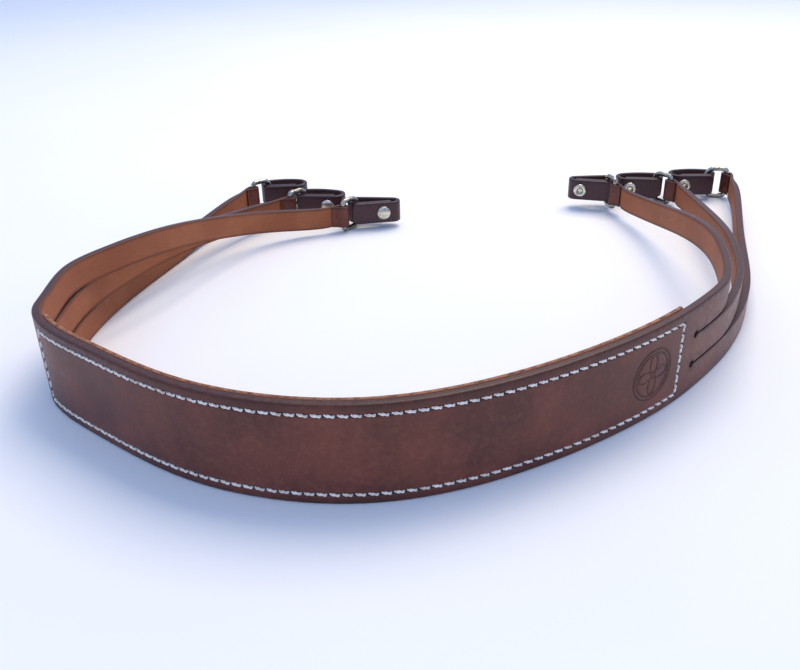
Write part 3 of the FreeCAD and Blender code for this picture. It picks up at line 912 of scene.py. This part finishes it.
def make_tail(name):
    """One tail, flush with the band at its root and turned round its dee at its end."""
    tail = TAILS[name]
    route = tail_route(name)
    left_side = name.startswith("left")
    line, half = turned_end(route.length)
    if left_side:
        line = line * [1, -1]
    radii = [(EDGE_ROUND, SLIT_ROUND), (SLIT_ROUND, SLIT_ROUND), (SLIT_ROUND, EDGE_ROUND)][tail["level"]]
    points, uv, numbers = folded_strip(line, half, TAIL_HEIGHT, TAIL_SECTION, radii)
    if left_side:
        numbers["side"] = 1 - numbers["side"]
    root = (tail["level"] + 0.5) * TAIL_HEIGHT + tail["level"] * SLIT
    rest = joint_place(f"{name}_dee_swivel")[2]
    low, high = tail["fall"]
    points[:, 2] += root + (rest - root) * smooth((points[:, 0] / route.length - low) / (high - low))
    points[:, 1] += 0.25 * ripple(points[:, 0], 0, 47, tail["level"] + 3.0) * smooth(points[:, 0] / 60) \
        * smooth((route.length - points[:, 0]) / 30)
    uv = uv + [BAND_END if not left_side else BAND_START, root]
    faces = tube_faces(len(line), TAIL_SECTION.shape[1])
    piece = finish_mesh(f"{name}_tail_leather", lay(route, points), faces, numbers, uv, [BAND_LEATHER])
    outward = np.append(band_end(name.split("_")[0])[1], 0)
    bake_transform(piece)
    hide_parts(f"{name}_tail")
    return piece


for name in TAILS:
    print(name, "tail:", len(make_tail(name).data.polygons), "faces")


# %% [markdown]
# ## The dees
# A dee is one length of round wire bent to a D, with its ends brazed together in the middle of the bar,
# where the leather hides the joint. It is a round section swept along straight runs and arcs.

# %% The dees
DEE_HALF = 8.4
DEE_DEPTH = 13.0
DEE_CORNER = 2.0
DEE_SHOULDER = 4.2
DEE_NOSE = 11.0


def arc(centre, radius, start, end, count):
    """Points of an arc between two angles in radians, without its last one."""
    turns = np.linspace(start, end, count + 1)[:-1]
    return [(centre[0] + radius * math.cos(a), centre[1] + radius * math.sin(a)) for a in turns]


def dee_line():
    """The wire's closed middle line as (forward, up), from the bar's middle upwards."""
    nose_x = DEE_DEPTH - DEE_NOSE
    drop = DEE_HALF - DEE_SHOULDER
    shoulder_x = nose_x + math.sqrt((DEE_NOSE - DEE_SHOULDER) ** 2 - drop ** 2)
    lean = math.atan2(drop, shoulder_x - nose_x)
    straight = DEE_HALF - DEE_CORNER
    upper = [(0, straight * i / 6) for i in range(6)]
    upper += arc((DEE_CORNER, straight), DEE_CORNER, math.pi, math.pi / 2, 8)
    upper += [(DEE_CORNER + (shoulder_x - DEE_CORNER) * i / 5, DEE_HALF) for i in range(5)]
    upper += arc((shoulder_x, drop), DEE_SHOULDER, math.pi / 2, lean, 8)
    upper += arc((nose_x, 0), DEE_NOSE, lean, 0, 10)
    lower = [(x, -z) for x, z in upper[:0:-1]]
    return np.array(upper + [(DEE_DEPTH, 0)] + lower)


def make_dee(name, around=18):
    """One wire dee, from the middle of its bar to its nose."""
    bar, nose = joint_place(f"{name}_dee_swivel"), joint_place(f"{name}_loop_swivel")
    forward = (nose - bar) / np.linalg.norm(nose - bar)
    sideways = np.array([-forward[1], forward[0], 0])
    line = dee_line()
    steps = np.roll(line, -1, axis=0) - np.roll(line, 1, axis=0)
    steps /= np.linalg.norm(steps, axis=1)[:, None]
    across = np.stack([steps[:, 1], -steps[:, 0]], axis=1)
    points = []
    for (x, z), (ax, az) in zip(line, across):
        for j in range(around):
            turn = 2 * math.pi * j / around
            out, side = WIRE / 2 * math.cos(turn), WIRE / 2 * math.sin(turn)
            points.append(bar + forward * (x + ax * out) + np.array([0, 0, z + az * out]) + sideways * side)
    piece = finish_mesh(f"{name}_dee_wire", points, ring_faces(len(line), around), {},
                        np.zeros((len(points), 2)), [DEE_NICKEL])
    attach(piece, f"{name}_ring")
    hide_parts(f"{name}_dee")
    return piece


for name in TAILS:
    make_dee(name)
print("dees:", len(TAILS), "of", len(dee_line()), "rings")


# %% [markdown]
# ## The loops
# A loop is one strip of dark latigo wrapped into a closed band that the dee's wire passes through. Its
# two ends lap over each other along one straight wall, where a rivet holds both layers. The outer
# layer's cut end has its corners rounded off, and the free end makes a soft turn.

# %% The loops
LOOP_SECTION = strip_section(np.linspace(-1, 1, 11), edge_lines=2, corner_lines=3)
EYE = LOOP_EYE + LOOP_THICK / 2
LAP = EYE + LOOP_THICK + LAYER_GAP
RIVET_WALL = LOOP_EYE + LOOP_THICK + LAYER_GAP / 2
END_ROUND = 2.4


def bend(centre, radius, start, finish, count):
    """An arc that always turns anticlockwise, between two angles in radians."""
    while finish < start:
        finish += 2 * math.pi
    return arc(centre, radius, start, finish, count)


def loop_line(free, turn, bow):
    """The strip's middle line, from its outer cut end to its inner one, as (forward, left)."""
    end = np.array([RIVET_PLACE + free - LOOP_THICK / 2 - turn, turn - LAP])
    reach, bearing = np.hypot(*end), math.atan2(end[1], end[0])
    one, two = bow - EYE, bow - turn
    lean = bearing - math.acos((one ** 2 + reach ** 2 - two ** 2) / (2 * one * reach))
    centre = one * np.array([math.cos(lean), math.sin(lean)])
    past_end = math.atan2(*(end - centre)[::-1])
    past_eye = math.atan2(*-centre[::-1])
    corner = LAP_START + END_ROUND * (1 - np.cos(np.linspace(0, math.pi / 2, 7)))
    inner_end = min(RIVET_PLACE + LAP_END, end[0] + 0.3)
    outer = np.concatenate([corner[:-1], np.linspace(corner[-1], end[0], 15)[:-1]])
    line = [(x, -LAP) for x in outer]
    line += bend(end, turn, -math.pi / 2, past_end, 22)
    line += bend(centre, bow, past_end, past_eye, 22)
    line += bend((0, 0), EYE, past_eye, 1.5 * math.pi, 26)
    return np.array(line + [(x, -EYE) for x in np.linspace(0, inner_end, 16)])


def make_loop(name):
    """One riveted loop, placed by its dee's nose and its own heading."""
    tail = TAILS[name]
    line = loop_line(tail["free"], tail["turn"], tail["bow"])
    half = np.full(len(line), LOOP_THICK / 2)
    half[[0, -1]] = 0.9
    past = np.clip(line[:, 0] - LAP_START, 0, END_ROUND)
    rounding = END_ROUND - np.sqrt(END_ROUND ** 2 - (END_ROUND - past) ** 2)
    height = TAIL_HEIGHT - 2 * np.where(np.arange(len(line)) < 8, rounding, 0)
    points, uv, numbers = folded_strip(line, half, height, LOOP_SECTION, (0.7, 0.7))
    side = -1 if name.startswith("left") else 1
    points[:, 1] *= -side
    nose = joint_place(f"{name}_loop_swivel")
    turn = math.radians(tail["loop"])
    ahead = np.array([math.cos(turn), math.sin(turn), 0])
    left = np.array([-math.sin(turn), math.cos(turn), 0])
    placed = nose + points[:, :1] * ahead + points[:, 1:2] * left + points[:, 2:] * [0, 0, 1]
    faces = tube_faces(len(line), LOOP_SECTION.shape[1])
    piece = finish_mesh(f"{name}_loop_leather", placed, faces, numbers, uv, [LOOP_LEATHER])
    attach(piece, f"{name}_keeper")
    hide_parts(f"{name}_loop")
    return nose + ahead * RIVET_PLACE + left * side * RIVET_WALL, ahead, left


# %% [markdown]
# ## The rivets
# A tubular rivet has a smooth domed head on one side. On the other its hollow end is rolled over into a
# ring with a dark middle. Both are turned shapes, made by spinning a profile round the rivet's axis.

# %% The rivets
SEAT = LOOP_THICK + LAYER_GAP / 2 + 0.02


def lathe(name, profile, centre, axis, across, material, segments=40):
    """A closed turned shape from (radius, height) points, first and last on the axis."""
    up = np.cross(axis, across)
    points = [centre + axis * profile[0][1]]
    for radius, height in profile[1:-1]:
        for i in range(segments):
            turn = 2 * math.pi * i / segments
            points.append(centre + axis * height + (across * math.cos(turn) + up * math.sin(turn)) * radius)
    points.append(centre + axis * profile[-1][1])
    rings, last = len(profile) - 2, len(points) - 1
    faces = [(0, 1 + i, 1 + (i + 1) % segments) for i in range(segments)]
    for r in range(rings - 1):
        for i in range(segments):
            k = (i + 1) % segments
            faces.append((1 + r * segments + i, 1 + (r + 1) * segments + i,
                          1 + (r + 1) * segments + k, 1 + r * segments + k))
    base = 1 + (rings - 1) * segments
    faces += [(base + i, last, base + (i + 1) % segments) for i in range(segments)]
    return finish_mesh(name, points, faces, {}, np.zeros((len(points), 2)), [material], sharp=50)


def rounded(radius, low, rise, count=9):
    """A quarter round from (radius, low) up to (0, low + rise)."""
    turns = np.linspace(0, math.pi / 2, count)
    return [(radius * math.cos(a), low + rise * math.sin(a)) for a in turns]


def make_rivet(name, centre, ahead, left):
    """The domed head and the shaft of one loop's rivet."""
    dome = rounded(3.95, SEAT + 0.35, 1.35)
    post = [(0, -SEAT - 0.6), (0.9, -SEAT - 0.6), (0.95, -SEAT - 1.0), (1.35, -SEAT - 1.15),
            (1.55, -SEAT - 0.9), (1.6, SEAT)] + [(3.8, SEAT), (3.95, SEAT + 0.15)] + dome
    piece = lathe(f"{name}_rivet_head", post, centre, -left, ahead, RIVET_NICKEL)
    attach(piece, f"{name}_keeper")
    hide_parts(f"{name}_rivet_post")
    return piece


def make_rolled_ring(name, centre, ahead, left):
    """The rolled end: a ring, round in section, that lies on the leather."""
    up = np.cross(left, ahead)
    middle, thick = 2.75, 1.13
    around, spins = 40, 14
    points = []
    for i in range(around):
        turn = 2 * math.pi * i / around
        out = ahead * math.cos(turn) + up * math.sin(turn)
        for j in range(spins):
            spin = 2 * math.pi * j / spins
            height = max(math.sin(spin) * thick * 0.95 + 0.35, 0.0)
            points.append(centre + left * (SEAT + height) + out * (middle + thick * math.cos(spin)))
    piece = finish_mesh(f"{name}_rivet_ring", points, ring_faces(around, spins), {},
                        np.zeros((len(points), 2)), [RIVET_NICKEL], sharp=60)
    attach(piece, f"{name}_keeper")
    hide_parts(f"{name}_rivet_cap")
    return piece


for name in TAILS:
    rivet_at, ahead, left = make_loop(name)
    make_rivet(name, rivet_at, ahead, left)
    make_rolled_ring(name, rivet_at, ahead, left)
print("loops and rivets:", len(TAILS))


# %% [markdown]
# ## Floor, light and camera
# The strap stands on a plain pale surface under a broad, cool sky light, with one large soft lamp above
# and behind it. The camera looks slightly down at the front of the band.

# %% Floor
def pale_floor():
    """A matte, nearly white sheet with the faintest unevenness."""
    material, tree, shader = new_material("matte_white_board")
    place = add(tree, "ShaderNodeTexCoord").outputs["Object"]
    cloud = noise(tree, place, 180, Detail=3.0)
    colour = blend_colours(tree, cloud, "#f4f6f8", "#eceff4")
    tree.links.new(colour, shader.inputs["Base Color"])
    shader.inputs["Roughness"].default_value = 0.8
    half = 4.0
    mesh = bpy.data.meshes.new("floor")
    mesh.from_pydata([(-half, -half, 0), (half, -half, 0), (half, half, 0), (-half, half, 0)], [],
                     [(0, 1, 2, 3)])
    mesh.materials.append(material)
    floor = put("floor", mesh)
    return floor


pale_floor()
print("floor made")


# %% Light
def soft_lamp(name, place, target, size, power, colour):
    """A square area lamp that looks at a point."""
    light = bpy.data.lights.new(name, "AREA")
    light.size = size
    light.energy = power
    light.color = linear(colour)[:3]
    lamp = put(name, light)
    lamp.location = place
    lamp.rotation_euler = (Vector(target) - Vector(place)).to_track_quat("-Z", "Y").to_euler()


world = bpy.data.worlds.new("sky")
world.use_nodes = True
world.node_tree.nodes["Background"].inputs["Color"].default_value = linear("#bdd4ff")
world.node_tree.nodes["Background"].inputs["Strength"].default_value = 0.96
bpy.context.scene.world = world
soft_lamp("window", (0.3, 0.55, 1.2), (0, 0, 0), 0.9, 15, "#ffe9c8")
bpy.context.scene.view_settings.view_transform = "Standard"

# %% Camera
low, high = (Vector(v) for v in cad_box)
CAMERA_HEIGHT = 0.1777
CAMERA_BACK = 0.2186
CAMERA_SIDE = -0.0325
camera = put("camera", bpy.data.cameras.new("camera"))
camera.data.lens = 38.25
camera.data.sensor_width = 36.0
camera.location = (CAMERA_SIDE, low.y - CAMERA_BACK, CAMERA_HEIGHT)
camera.rotation_euler = (Matrix.Rotation(math.radians(90 - 27.84), 4, "X")
                         @ Matrix.Rotation(math.radians(-1.47), 4, "Z")).to_euler()
bpy.context.scene.camera = camera
print("camera at", [round(v, 3) for v in camera.location])
